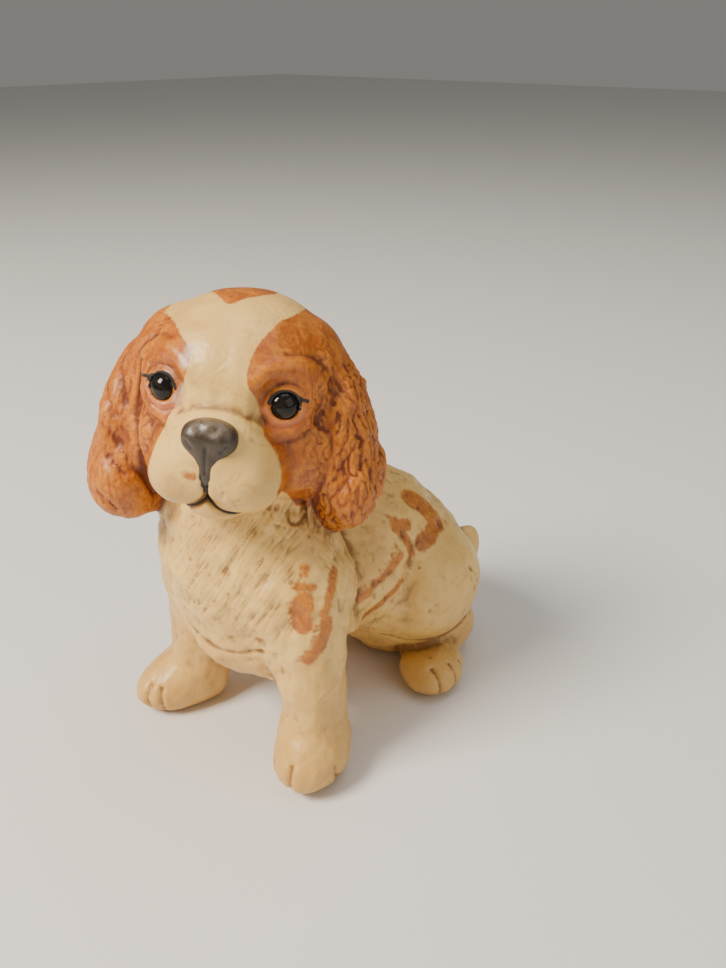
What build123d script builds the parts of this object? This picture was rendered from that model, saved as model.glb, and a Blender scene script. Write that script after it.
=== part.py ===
"""Ceramic spaniel puppy, sitting, with its head turned to its left.

The figurine is slip-cast earthenware: a hollow torso and a hollow head, with solid
ears, legs and tail luted on, and a nose pad and two glazed eye beads set in the head.
The dog faces -Y, its left side is +X, and it stands on the plane z = 0.
Every rounded form is a mass: an ellipsoid given by its centre, its half sizes and a tilt.
"""
import os

from build123d import *

# ---------------------------------------------------------------- driving dimensions, mm
WALL = 3.4                        # cast wall of the torso and the head
EYE_RADIUS = 3.8
LEFT_EYE_PLACE = (12.4, -14.8, 4.6)     # centres of the eye beads in the head's frame
RIGHT_EYE_PLACE = (-13.3, -14.6, 4.8)
VENT_DIAMETER = 3.6               # firing vent in the seat
NECK_CHANNEL_RADIUS = 7.5         # the head and the torso drain through one another
FLOOR_BLOCK = 200.0               # block that trims the soles flat at z = 0

# Head: its own frame has the nose towards -Y, and stands at HEAD_CENTRE.
HEAD_CENTRE = (-0.2, -22.5, 96.5)
HEAD_TURN = 34.0                  # degrees to the dog's left
HEAD_LIFT = -8.0                  # nose up
HEAD_TILT = 6.0                   # towards the dog's left shoulder

# Masses in the head's frame: (centre, half sizes, tilt about X, Y, Z in degrees).
SKULL = ((0.0, 2.0, 5.5), (23.0, 23.0, 20.5), (0, 0, 0))
BROW = ((0.0, -10.0, 7.0), (17.0, 10.0, 11.0), (0, 0, 0))
MUZZLE = ((0.0, -17.0, -6.5), (12.5, 13.0, 10.0), (0, 0, 0))
CHIN = ((0.0, -18.5, -17.4), (7.6, 8.0, 4.6), (0, 0, 0))
NOSE = ((0.0, -27.6, -1.6), (5.9, 4.0, 4.6), (0, 0, 0))
LIP = ((6.8, -20.0, -11.4), (8.0, 9.0, 7.6))
CHEEK = ((13.0, -4.0, -8.0), (11.0, 13.0, 12.0))

# Each ear hangs as three overlapping masses, from its root to its lobe.
LEFT_EAR = (
    ((21.5, 4.0, 2.5), (5.5, 11.0, 16.0), (0, -22, 0)),
    ((26.6, 2.0, -7.0), (6.0, 12.0, 16.5), (0, -8, 0)),
    ((27.6, 1.0, -17.0), (8.0, 13.0, 10.6), (0, 0, 0)),
)
RIGHT_EAR = (
    ((-22.5, 3.5, 2.0), (5.5, 11.0, 15.5), (0, 24, 0)),
    ((-28.3, 2.0, -9.0), (6.0, 12.0, 16.5), (0, 8, 0)),
    ((-26.2, -0.5, -22.2), (9.0, 13.0, 11.3), (0, 0, 0)),
)

# Masses in the dog's frame.
CHEST = ((-3.0, -21.5, 51.0), (26.0, 21.0, 28.0), (8, 0, 0))
NECK = ((-2.0, -20.0, 74.0), (20.0, 17.0, 18.0), (0, 0, 0))
SHOULDER = ((17.0, -22.0, 48.0), (12.0, 13.0, 16.0), (0, 8, 0))
BRISKET = ((2.0, -26.0, 31.5), (15.0, 12.0, 9.5), (0, 0, 0))
BELLY = ((3.0, 6.0, 42.0), (21.0, 32.0, 18.0), (22, 0, 0))
RUMP = ((6.0, 26.0, 29.5), (25.0, 24.5, 24.5), (0, 0, 0))
SEAT = ((6.0, 31.0, 14.5), (20.0, 17.0, 17.0), (0, 0, 0))
TAIL_ROOT = (16.0, 44.5, 21.0)
TAIL_TIP = (20.0, 49.5, 32.5)
TAIL_ROOT_RADIUS = 5.0
TAIL_TIP_RADIUS = 3.9

LEFT_FORELEG = (
    ((24.0, -26.0, 26.0), (8.0, 8.5, 26.0), (0, 0, 0)),
    ((26.5, -31.0, 7.0), (9.0, 11.5, 7.8), (0, 0, 25)),
)
RIGHT_FORELEG = (
    ((-19.5, -26.5, 26.0), (8.5, 8.5, 26.0), (0, 0, 0)),
    ((-23.5, -34.5, 6.5), (9.0, 12.0, 7.4), (0, 0, -8)),
)
LEFT_HIND_LEG = (
    ((22.0, 25.0, 27.0), (12.0, 19.0, 17.5), (0, 0, 0)),
    ((23.5, 34.0, 10.5), (8.0, 9.5, 11.0), (0, 0, 0)),
    ((28.5, 20.0, 5.0), (9.5, 12.0, 6.0), (0, 0, 30)),
)
RIGHT_HIND_LEG = (
    ((-11.0, 24.0, 27.0), (12.0, 19.0, 17.5), (0, 0, 0)),
    ((-12.0, 34.0, 10.5), (8.0, 9.5, 11.0), (0, 0, 0)),
    ((-17.0, 18.5, 5.0), (9.5, 12.0, 6.0), (0, 0, -20)),
)


def mass(centre, half_sizes, tilt=(0, 0, 0)):
    """One ellipsoid with its centre, its half sizes and its tilt."""
    return Pos(*centre) * Rot(*tilt) * scale(Sphere(1), by=half_sizes)


def fused(masses):
    """The masses of one form, joined into a single solid."""
    first, *rest = [mass(*item) for item in masses]
    for shape in rest:
        first = first + shape
    return first


def thinned(item, wall):
    """The same mass with its half sizes less by the wall."""
    centre, half_sizes, tilt = item
    return centre, tuple(size - wall for size in half_sizes), tilt


def mirrored(centre, half_sizes):
    """A mass of the left cheek or lip, and its twin on the right."""
    x, y, z = centre
    no_tilt = (0, 0, 0)
    return ((x, y, z), half_sizes, no_tilt), ((-x, y, z), half_sizes, no_tilt)


def on_head(shape):
    """Carry a shape from the head's frame to the dog's frame."""
    turn = Rot(0, 0, HEAD_TURN) * Rot(HEAD_LIFT, 0, 0) * Rot(0, HEAD_TILT, 0)
    return Pos(*HEAD_CENTRE) * turn * shape


def above_floor(shape):
    """Trim a shape flat at the plane that the dog stands on."""
    block = Pos(0, 0, -FLOOR_BLOCK / 2) * Box(FLOOR_BLOCK, FLOOR_BLOCK, FLOOR_BLOCK)
    return shape - block


def head_form():
    """The head's outer form, without its ears."""
    masses = [SKULL, BROW, MUZZLE, CHIN]
    masses += mirrored(*LIP)
    masses += mirrored(*CHEEK)
    return on_head(fused(masses))


def torso_form():
    """The torso's outer form, from the ruff under the head to the seat."""
    return above_floor(fused([CHEST, NECK, SHOULDER, BRISKET, BELLY, RUMP, SEAT]))


def neck_channel():
    """The round way that joins the hollow of the head to the hollow of the torso."""
    x, y, z = NECK[0]
    return Pos(x, y, z) * Cylinder(NECK_CHANNEL_RADIUS, 2 * NECK[1][2])


def seat_vent():
    """The firing vent, straight up through the seat."""
    x, y, z = SEAT[0]
    return Pos(x, y, z / 2) * Cylinder(VENT_DIAMETER / 2, 1.5 * z)


def eye(place):
    """One glazed eye bead with its centre at a place of the head's frame."""
    poles_sideways = Rot(0, 90, 0)
    return on_head(Pos(*place) * poles_sideways * Sphere(EYE_RADIUS))


def tail():
    """The docked tail: a short taper with a round tip, leaning to the dog's left."""
    root = Vector(*TAIL_ROOT)
    tip = Vector(*TAIL_TIP)
    taper = Cone(TAIL_ROOT_RADIUS, TAIL_TIP_RADIUS, (tip - root).length,
                 align=(Align.CENTER, Align.CENTER, Align.MIN))
    return Plane(origin=root, z_dir=tip - root) * taper + Pos(*TAIL_TIP) * Sphere(TAIL_TIP_RADIUS)


def head_shell(outer, inlays):
    """The hollow head, with sockets for the nose pad and the eyes."""
    hollow = on_head(fused([thinned(SKULL, WALL + 1.5), thinned(MUZZLE, WALL + 2.0)]))
    shell = outer - hollow - neck_channel()
    for inlay in inlays:
        shell = shell - inlay
    return shell


def torso_shell(outer):
    """The hollow torso, with the neck channel and the vent in the seat."""
    hollow = fused([thinned(item, WALL) for item in (CHEST, BELLY, RUMP)])
    return outer - hollow - neck_channel() - seat_vent()


def build_pieces():
    """Every piece of the figurine by its name, in the dog's frame."""
    head = head_form()
    torso = torso_form() - head
    body = [head, torso]
    nose = on_head(mass(*NOSE))
    eyes = {"left_eye": eye(LEFT_EYE_PLACE), "right_eye": eye(RIGHT_EYE_PLACE)}
    pieces = {
        "torso_shell": torso_shell(torso),
        "head_shell": head_shell(head, [nose, *eyes.values()]),
        "nose_pad": nose,
        **eyes,
        "left_ear": on_head(fused(LEFT_EAR)),
        "right_ear": on_head(fused(RIGHT_EAR)),
        "left_foreleg": above_floor(fused(LEFT_FORELEG)),
        "right_foreleg": above_floor(fused(RIGHT_FORELEG)),
        "left_hind_leg": above_floor(fused(LEFT_HIND_LEG)),
        "right_hind_leg": above_floor(fused(RIGHT_HIND_LEG)),
        "tail": tail(),
    }
    for name in ("left_ear", "right_ear", "left_foreleg", "right_foreleg",
                 "left_hind_leg", "right_hind_leg", "tail"):
        for form in body:
            pieces[name] = pieces[name] - form
    pieces["tail"] = pieces["tail"] - pieces["left_hind_leg"]
    return pieces


def main_solid(shape):
    """The largest solid of a cut form: the crumbs beyond the body are left out."""
    return max(shape.solids(), key=lambda solid: solid.volume)


def centred(pieces):
    """Move the pieces together so that the origin is under the middle of their box."""
    boxes = [shape.bounding_box() for shape in pieces.values()]
    middle_x = (min(box.min.X for box in boxes) + max(box.max.X for box in boxes)) / 2
    middle_y = (min(box.min.Y for box in boxes) + max(box.max.Y for box in boxes)) / 2
    print(f"origin at x {middle_x:.3f}, y {middle_y:.3f} of the dog's frame")
    return {name: Pos(-middle_x, -middle_y, 0) * shape for name, shape in pieces.items()}


os.makedirs("parts", exist_ok=True)
solids = {name: main_solid(shape) for name, shape in build_pieces().items()}
for name, solid in centred(solids).items():
    export_step(solid, f"parts/{name}.step")
    print(f"{name:16s} {solid.volume:9.1f} mm3")
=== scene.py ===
"""Looks of a glazed ceramic puppy: a sculpted skin, cut into its cast pieces, painted and lit.

The skin is settled on the same rounded masses as the cast forms, in millimetres, in the dog's own
frame: the dog faces -Y, its left is +X, and it stands on z = 0. Every finished piece is brought to
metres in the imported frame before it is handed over.
"""

import logging
import math
from dataclasses import dataclass, field
from enum import Enum
from typing import Sequence

import bmesh
import bpy
import numpy as np
from mathutils import Matrix, Vector, noise
from mathutils.bvhtree import BVHTree


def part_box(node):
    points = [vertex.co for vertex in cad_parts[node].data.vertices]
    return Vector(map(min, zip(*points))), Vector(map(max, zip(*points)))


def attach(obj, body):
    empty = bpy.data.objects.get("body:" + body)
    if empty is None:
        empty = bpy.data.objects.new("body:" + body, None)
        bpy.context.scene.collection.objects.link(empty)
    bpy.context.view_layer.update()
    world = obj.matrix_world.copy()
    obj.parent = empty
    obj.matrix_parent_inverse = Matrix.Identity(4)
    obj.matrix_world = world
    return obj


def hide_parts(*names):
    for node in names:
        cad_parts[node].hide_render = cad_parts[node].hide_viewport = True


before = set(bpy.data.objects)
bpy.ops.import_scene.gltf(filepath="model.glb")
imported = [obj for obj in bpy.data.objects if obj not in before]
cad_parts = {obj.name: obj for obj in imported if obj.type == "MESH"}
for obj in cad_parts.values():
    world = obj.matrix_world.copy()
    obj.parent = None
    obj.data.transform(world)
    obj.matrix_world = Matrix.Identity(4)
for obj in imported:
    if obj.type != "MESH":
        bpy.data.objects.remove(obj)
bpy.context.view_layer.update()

MM = 0.001
STANDING = Matrix.Identity(4)
# Millimetres: the faces of the first rough skin and of the finished one.
FIRST_VOXEL = 0.9
SKIN_VOXEL = 0.42
# How far apart a distance field is read for its slope, and where the rays of marks start.
SLOPE_STEP = 0.02
RAY_START = 90.0
# A stroke presses this many of its widths to each side, and a line's points lie this close.
STROKE_REACH = 2.2
LINE_STEP = 0.4
# Paint is held as depth inside its edge: bare skin and the deepest paint, in millimetres.
BARE = -3.0
DEEPEST = 3.0
# A patch wraps this far off its form, and this far back from the side it is laid out on.
PATCH_REACH = 2.5
PATCH_BACK = -12.0
LOG = logging.getLogger("ceramic_puppy")

Pair = tuple[float, float]
Triple = tuple[float, float, float]


class Slot(Enum):
    """The record's material slots."""

    BODY = "body_glaze"
    HEAD = "head_glaze"
    EAR = "ear_glaze"
    NOSE = "nose_black"
    EYE = "eye_black"


# ------------------------------------------------------------------------------ clay forms
def turned(x: float, y: float, z: float) -> Matrix:
    """A rotation by degrees about X, then Y, then Z of the turned frame."""
    return (Matrix.Rotation(math.radians(x), 4, "X") @ Matrix.Rotation(math.radians(y), 4, "Y")
            @ Matrix.Rotation(math.radians(z), 4, "Z"))


def soft_union(a: np.ndarray, b: np.ndarray, reach: float) -> np.ndarray:
    """Join two distance fields with a fillet.

    Args:
        a: distances to the first form.
        b: distances to the second form.
        reach: how far apart two surfaces still flow together, in millimetres.

    Returns:
        The joined distances.
    """
    meet = np.maximum(reach - np.abs(a - b), 0.0) / reach
    return np.minimum(a, b) - meet * meet * reach * 0.25


@dataclass(frozen=True)
class Mass:
    """One rounded lump of clay: an ellipsoid with a centre, half sizes and a tilt in degrees."""

    centre: Triple
    half: Triple
    tilt: Triple = (0.0, 0.0, 0.0)

    def place(self) -> Matrix:
        """The lump's own frame, without its half sizes."""
        return Matrix.Translation(self.centre) @ turned(*self.tilt)

    def mirrored(self) -> "Mass":
        """The same lump on the other side of the x = 0 plane."""
        x, y, z = self.centre
        tilt_x, tilt_y, tilt_z = self.tilt
        return Mass((-x, y, z), self.half, (tilt_x, -tilt_y, -tilt_z))


@dataclass
class Form:
    """A group of masses that flow into each other, standing in one frame."""

    name: str
    masses: list[Mass]
    flow: float
    place: Matrix = field(default_factory=Matrix)

    def field(self, points: np.ndarray) -> np.ndarray:
        """Distances from points to the form's skin, negative inside.

        Args:
            points: places in the dog's frame, one row each.

        Returns:
            The distances in millimetres.
        """
        total: np.ndarray | None = None
        for mass in self.masses:
            inverse = np.array((self.place @ mass.place()).inverted())
            local = points @ inverse[:3, :3].T + inverse[:3, 3]
            half = np.array(mass.half)
            near = np.linalg.norm(local / half, axis=1)
            slope = np.linalg.norm(local / (half * half), axis=1) + 1e-9
            distance = near * (near - 1.0) / slope
            total = distance if total is None else soft_union(total, distance, self.flow)
        return total

    def add_to(self, bm: bmesh.types.BMesh) -> None:
        """Put the form's masses into a mesh as overlapping balls."""
        for mass in self.masses:
            size = Matrix.Diagonal((*mass.half, 1.0))
            bmesh.ops.create_icosphere(bm, subdivisions=4, radius=1.0,
                                       matrix=self.place @ mass.place() @ size)


@dataclass
class Clay:
    """The whole dog as forms that join with their own fillets, standing on a flat floor."""

    forms: list[tuple[Form, float]]
    floor_rounding: float = 1.2

    def field(self, points: np.ndarray) -> np.ndarray:
        """Distances from points to the joined skin, trimmed flat at z = 0.

        Args:
            points: places in the dog's frame, one row each.

        Returns:
            The distances in millimetres.
        """
        total: np.ndarray | None = None
        for form, reach in self.forms:
            distance = form.field(points)
            total = distance if total is None else soft_union(total, distance, reach)
        return -soft_union(-total, points[:, 2], self.floor_rounding)

    def form(self, name: str) -> Form:
        """The form of that name."""
        return next(form for form, _ in self.forms if form.name == name)

    def settle(self, points: np.ndarray, rounds: int) -> np.ndarray:
        """Move points onto the skin along its slope.

        Args:
            points: places near the skin.
            rounds: how many steps are taken.

        Returns:
            The settled places.
        """
        for _ in range(rounds):
            here = self.field(points)
            slope = np.empty_like(points)
            for axis in range(3):
                ahead = points.copy()
                ahead[:, axis] += SLOPE_STEP
                slope[:, axis] = (self.field(ahead) - here) / SLOPE_STEP
            size = np.maximum((slope * slope).sum(axis=1), 0.25)
            points = points - slope * (here / size)[:, None]
        return points


# ------------------------------------------------------------------------------ mesh helpers
def new_object(name: str, mesh: bpy.types.Mesh) -> bpy.types.Object:
    """An object of that mesh in the scene."""
    made = bpy.data.objects.new(name, mesh)
    bpy.context.scene.collection.objects.link(made)
    return made


def mesh_from(bm: bmesh.types.BMesh, name: str) -> bpy.types.Mesh:
    """A mesh with a working mesh's contents; the working mesh is freed.

    Args:
        bm: the working mesh.
        name: the new mesh's name.

    Returns:
        The mesh.
    """
    mesh = bpy.data.meshes.new(name)
    bm.to_mesh(mesh)
    bm.free()
    return mesh


def applied(obj: bpy.types.Object) -> bpy.types.Mesh:
    """The object's mesh with its modifiers applied; the object is removed.

    Args:
        obj: the object.

    Returns:
        The mesh.
    """
    bpy.context.view_layer.update()
    graph = bpy.context.evaluated_depsgraph_get()
    mesh = bpy.data.meshes.new_from_object(obj.evaluated_get(graph))
    bpy.data.objects.remove(obj)
    return mesh


def remeshed(mesh: bpy.types.Mesh, voxel: float) -> bpy.types.Mesh:
    """One closed skin round everything in a mesh, with faces of about one voxel.

    Args:
        mesh: overlapping closed shapes; it is used up.
        voxel: the faces' size.

    Returns:
        The skin.
    """
    work = new_object("work", mesh)
    modifier = work.modifiers.new("skin", "REMESH")
    modifier.mode = "VOXEL"
    modifier.voxel_size = voxel
    return applied(work)


def coordinates(mesh: bpy.types.Mesh) -> np.ndarray:
    """The vertices' places as an array.

    Args:
        mesh: the mesh.

    Returns:
        One row for each vertex.
    """
    flat = np.empty(len(mesh.vertices) * 3, np.float32)
    mesh.vertices.foreach_get("co", flat)
    return flat.reshape(-1, 3).astype(float)


def set_coordinates(mesh: bpy.types.Mesh, points: np.ndarray) -> None:
    """Write the vertices' places back to the mesh."""
    mesh.vertices.foreach_set("co", points.astype(np.float32).ravel())
    mesh.update()


def vertex_normals(mesh: bpy.types.Mesh) -> np.ndarray:
    """The vertices' outward directions as an array.

    Args:
        mesh: the mesh.

    Returns:
        One row for each vertex.
    """
    flat = np.empty(len(mesh.vertices) * 3, np.float32)
    mesh.vertex_normals.foreach_get("vector", flat)
    return flat.reshape(-1, 3).astype(float)


def write_values(mesh: bpy.types.Mesh, name: str, values: np.ndarray) -> None:
    """Store one number per vertex on the mesh, for its material to read."""
    layer = mesh.attributes.new(name, "FLOAT", "POINT")
    layer.data.foreach_set("value", values.astype(np.float32))


def to_packed_frame(shift: Vector) -> Matrix:
    """The change from the dog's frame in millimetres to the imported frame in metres."""
    return Matrix.Scale(MM, 4) @ Matrix.Translation(shift)


def neighbour_mean(mesh: bpy.types.Mesh, values: np.ndarray, rounds: int) -> np.ndarray:
    """Average values over each vertex and its neighbours.

    Args:
        mesh: the mesh whose edges join the neighbours.
        values: a number or a row of numbers for each vertex.
        rounds: how many times the values are averaged.

    Returns:
        The averaged values.
    """
    edges = np.empty(len(mesh.edges) * 2, np.int32)
    mesh.edges.foreach_get("vertices", edges)
    first, second = edges.reshape(-1, 2).T
    count = np.bincount(edges, minlength=len(values)).astype(float)
    shape = (-1, 1) if values.ndim == 2 else (-1,)
    for _ in range(rounds):
        total = np.zeros_like(values)
        if values.ndim == 2:
            for axis in range(values.shape[1]):
                total[:, axis] = (np.bincount(first, values[second, axis], len(values))
                                  + np.bincount(second, values[first, axis], len(values)))
        else:
            total = (np.bincount(first, values[second], len(values))
                     + np.bincount(second, values[first], len(values)))
        values = (values + total) / (1.0 + count).reshape(shape)
    return values


# ------------------------------------------------------------------------------ laying out marks
@dataclass(frozen=True)
class Side:
    """One side of a form, seen square on, for laying out marks as (right, up) pairs."""

    place: Matrix
    right: Triple
    up: Triple

    def axes(self) -> tuple[Vector, Vector, Vector]:
        """The side's right, up and towards-the-eye directions in the dog's frame.

        Returns:
            The three directions, each of length 1.
        """
        turn = self.place.to_3x3()
        right = (turn @ Vector(self.right)).normalized()
        up = (turn @ Vector(self.up)).normalized()
        return right, up, right.cross(up)

    def origin(self) -> Vector:
        """Where (0, 0) of the side is."""
        return self.place.translation

    def flat(self, points: np.ndarray) -> np.ndarray:
        """Points of the dog's frame as (right, up, towards) of this side."""
        rows = np.array([list(axis) for axis in self.axes()])
        return (points - np.array(self.origin())) @ rows.T


def flowing(points: Sequence[Pair], step: float) -> list[Pair]:
    """A smooth line through a few pairs.

    Args:
        points: the pairs that the line goes through.
        step: about how far apart the line's own pairs lie.

    Returns:
        The line's pairs.
    """
    if len(points) < 2:
        return list(points)
    whole = [points[0], *points, points[-1]]
    line: list[Pair] = []
    for before, start, end, after in zip(whole, whole[1:], whole[2:], whole[3:]):
        parts = max(1, int(math.dist(start, end) / step))
        for part in range(parts):
            t = part / parts
            line.append(tuple(
                0.5 * (2 * b + (c - a) * t + (2 * a - 5 * b + 4 * c - d) * t * t
                       + (3 * b - a - 3 * c + d) * t ** 3)
                for a, b, c, d in zip(before, start, end, after)))
    line.append(points[-1])
    return line


def arc(centre: Pair, radius: float, start: float, end: float, squeeze: float = 1.0) -> list[Pair]:
    """Pairs along an arc.

    Args:
        centre: the arc's middle.
        radius: its radius.
        start: its first angle in degrees.
        end: its last angle in degrees.
        squeeze: below 1 the arc is flattened up and down.

    Returns:
        The pairs from the first angle to the last.
    """
    count = max(3, int(abs(end - start) / 20))
    angles = [math.radians(start + (end - start) * i / count) for i in range(count + 1)]
    return [(centre[0] + radius * math.cos(a), centre[1] + squeeze * radius * math.sin(a))
            for a in angles]


class Skin:
    """The sculpted surface: its mesh, and the marks pressed, raised and painted on it."""

    def __init__(self, clay: Clay, voxel: float) -> None:
        """Build the skin on the clay with faces of about one voxel.

        Args:
            clay: the forms that the skin is settled on.
            voxel: the faces' size in millimetres.
        """
        bm = bmesh.new()
        for form, _ in clay.forms:
            form.add_to(bm)
        mesh = remeshed(mesh_from(bm, "masses"), FIRST_VOXEL)
        set_coordinates(mesh, clay.settle(coordinates(mesh), 4))
        mesh = remeshed(mesh, voxel)
        set_coordinates(mesh, clay.settle(coordinates(mesh), 3))
        self.clay = clay
        self.mesh = mesh
        self.paint: dict[str, np.ndarray] = {}
        self.refresh()

    def refresh(self) -> None:
        """Read the mesh again after its vertices have moved."""
        self.points = coordinates(self.mesh)
        self.normals = vertex_normals(self.mesh)
        triangles = [tuple(face.vertices) for face in self.mesh.polygons]
        self.tree = BVHTree.FromPolygons(self.points.tolist(), triangles)
        self.lift = np.zeros(len(self.points))

    def commit(self) -> None:
        """Move the vertices by the lifts collected so far, and none of them below the floor."""
        moved = self.points + self.normals * self.lift[:, None]
        moved[:, 2] = np.maximum(moved[:, 2], 0.0)
        set_coordinates(self.mesh, moved)
        self.refresh()

    def path(self, side: Side, marks: Sequence[Pair], step: float = LINE_STEP) -> np.ndarray:
        """Lay a smooth line of marks on the skin, as seen from a side.

        Args:
            side: the side that the marks are laid out on.
            marks: (right, up) pairs in millimetres.
            step: distance between the points of the line.

        Returns:
            Points on the skin.
        """
        right, up, towards = side.axes()
        found = []
        for across, high in flowing(marks, step):
            start = side.origin() + right * across + up * high
            hit = self.tree.ray_cast(start + towards * RAY_START, -towards)[0]
            if hit is not None:
                found.append(hit)
        return np.array([list(point) for point in found]).reshape(-1, 3)

    def near(self, line: np.ndarray, reach: float) -> tuple[np.ndarray, np.ndarray]:
        """Find the vertices near a line.

        Args:
            line: points on the skin.
            reach: how near a vertex has to be, in millimetres.

        Returns:
            The vertices' numbers and their distances from the line.
        """
        if len(line) == 0:
            return np.zeros(0, int), np.zeros(0)
        low, high = line.min(axis=0) - reach, line.max(axis=0) + reach
        inside = np.flatnonzero(((self.points > low) & (self.points < high)).all(axis=1))
        distance = np.full(len(inside), np.inf)
        for point in line:
            gap = self.points[inside] - point
            distance = np.minimum(distance, np.einsum("ij,ij->i", gap, gap))
        distance = np.sqrt(distance)
        keep = distance < reach
        return inside[keep], distance[keep]

    def press(self, line: np.ndarray, width: float, height: float) -> None:
        """Raise the skin along a line, or press it in where height is negative.

        Args:
            line: points on the skin.
            width: how far the mark spreads, in millimetres.
            height: the lift along the line's middle.
        """
        chosen, distance = self.near(line, STROKE_REACH * width)
        self.lift[chosen] += height * np.exp(-(distance / width) ** 2)

    def stroke(self, side: Side, marks: Sequence[Pair], width: float, height: float) -> None:
        """Press or raise a smooth line of marks laid out on a side."""
        self.press(self.path(side, marks, min(LINE_STEP, 0.5 * width)), width, height)

    def brushed(self, name: str, line: np.ndarray, width: float) -> None:
        """Paint a line: the paint's value is how deep a vertex lies inside it, in millimetres.

        Args:
            name: the paint.
            line: points on the skin.
            width: half the line's width.
        """
        chosen, distance = self.near(line, width + 2.0)
        value = self.coat(name)
        value[chosen] = np.maximum(value[chosen], width - distance)

    def drill(self, centre: Pair, radius: float, depth: float) -> None:
        """Bore a round hole into the skin from the floor; done before any mark is made.

        Args:
            centre: the hole's middle on the floor.
            radius: the hole's radius.
            depth: how high it reaches.
        """
        bm = bmesh.new()
        bmesh.ops.create_cone(bm, cap_ends=True, segments=40, radius1=radius, radius2=radius,
                              depth=2.0 * depth, matrix=Matrix.Translation((*centre, 0.0)))
        drill = new_object("drill", mesh_from(bm, "drill"))
        work = new_object("bored", self.mesh)
        modifier = work.modifiers.new("hole", "BOOLEAN")
        modifier.operation = "DIFFERENCE"
        modifier.solver = "EXACT"
        modifier.object = drill
        self.mesh = applied(work)
        bpy.data.objects.remove(drill)
        self.refresh()

    def refine(self, centres: Sequence[Vector], radius: float) -> None:
        """Halve the faces near some points; done before any paint is laid.

        Args:
            centres: the points.
            radius: how far round each of them the faces are halved, in millimetres.
        """
        bm = bmesh.new()
        bm.from_mesh(self.mesh)
        close = np.zeros(len(self.points), bool)
        for centre in centres:
            close |= np.linalg.norm(self.points - np.array(centre), axis=1) < radius
        edges = [edge for edge in bm.edges
                 if close[edge.verts[0].index] and close[edge.verts[1].index]]
        bmesh.ops.subdivide_edges(bm, edges=edges, cuts=1, use_grid_fill=True)
        bm.to_mesh(self.mesh)
        bm.free()
        set_coordinates(self.mesh, self.clay.settle(coordinates(self.mesh), 1))
        self.refresh()

    def grain(self, weight: np.ndarray, sizes: Triple, height: float, place: Matrix = STANDING,
              ridged: bool = False, seed: float = 0.0) -> None:
        """Raise and sink the skin by noise.

        Args:
            weight: how much of the noise each vertex takes, from 0 to 1.
            sizes: how long the lumps are along each axis of the frame, in millimetres.
            height: the largest lift, in millimetres.
            place: the frame that the sizes belong to.
            ridged: True for sharp furrows instead of round lumps.
            seed: an offset into the noise.
        """
        inverse = place.inverted()
        for index in np.flatnonzero(weight > 0.02):
            x, y, z = inverse @ Vector(self.points[index])
            value = noise.noise(Vector((x / sizes[0] + seed, y / sizes[1], z / sizes[2])))
            if ridged:
                value = min(abs(value) * 3.0, 1.0) - 0.6
            self.lift[index] += height * value * weight[index]

    def share(self, name: str, soft: float = 2.0) -> np.ndarray:
        """How much each vertex belongs to one form.

        Args:
            name: the form.
            soft: over how many millimetres the share fades where another form takes over.

        Returns:
            1 on the form and 0 away from it, for each vertex.
        """
        own = self.clay.form(name).field(self.points)
        rest = np.min([form.field(self.points) for form, _ in self.clay.forms
                       if form.name != name], axis=0)
        return np.clip((rest - own) / soft, 0.0, 1.0)

    def store(self) -> None:
        """Write the paints, how sunk or raised the skin is, and how sheltered it is for painted
        shade, to the mesh for its material.
        """
        smooth = neighbour_mean(self.mesh, self.points, 10)
        dip = ((smooth - self.points) * self.normals).sum(axis=1)
        broad = neighbour_mean(self.mesh, self.points, 60)
        fold = ((broad - self.points) * self.normals).sum(axis=1)
        values = {"groove": np.clip(dip / 0.14, 0.0, 1.0), "fold": np.clip(fold / 0.5, 0.0, 1.0)}
        # Painted shade: how sheltered each vertex is, from how much open clay lies ahead of it
        # along its normal, for the glazes to darken.
        open_air = np.zeros(len(self.points))
        for reach in (2.0, 5.0):
            ahead = self.clay.field(self.points + self.normals * reach)
            open_air += np.clip(ahead / reach, -0.2, 1.0) / 2.0
        values["recess"] = np.clip(1.0 - open_air, 0.0, 1.0)
        values["crest"] = np.clip(-dip / 0.12, 0.0, 1.0)
        for name in ("tan", "brush", "scuff", "ink", "flesh"):
            values[name] = self.coat(name)
        for name, value in values.items():
            write_values(self.mesh, name, value)

    def coat(self, name: str) -> np.ndarray:
        """The values of a named paint, all bare at first."""
        return self.paint.setdefault(name, np.full(len(self.points), BARE))

    def patch(self, name: str, side: Side, outline: Sequence[Pair], on: str) -> None:
        """Paint a closed patch laid out on a side.

        Args:
            name: the paint.
            side: the side that the patch is laid out on.
            outline: the patch's corners, which a smooth line goes through.
            on: the form that takes the paint.
        """
        flat = side.flat(self.points)
        line = np.array(flowing([*outline, outline[0]], 1.0))
        ends = np.roll(line, -1, axis=0)
        inside = np.zeros(len(flat), bool)
        distance = np.full(len(flat), np.inf)
        for (x0, y0), (x1, y1) in zip(line, ends):
            dx, dy = x1 - x0, y1 - y0
            span = dx * dx + dy * dy
            if span < 1e-9:
                continue
            along = np.clip(((flat[:, 0] - x0) * dx + (flat[:, 1] - y0) * dy) / span, 0, 1)
            gap = np.hypot(flat[:, 0] - x0 - along * dx, flat[:, 1] - y0 - along * dy)
            distance = np.minimum(distance, gap)
            crosses = (y0 > flat[:, 1]) != (y1 > flat[:, 1])
            height = dy if abs(dy) > 1e-12 else 1e-12
            inside ^= crosses & (flat[:, 0] < x0 + (flat[:, 1] - y0) * dx / height)
        signed = np.where(inside, distance, -distance)
        signed = np.minimum(signed, PATCH_REACH - self.clay.form(on).field(self.points))
        signed = np.where(flat[:, 2] > PATCH_BACK, signed, BARE)
        self.paint[name] = np.maximum(self.coat(name), np.clip(signed, BARE, DEEPEST))


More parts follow.
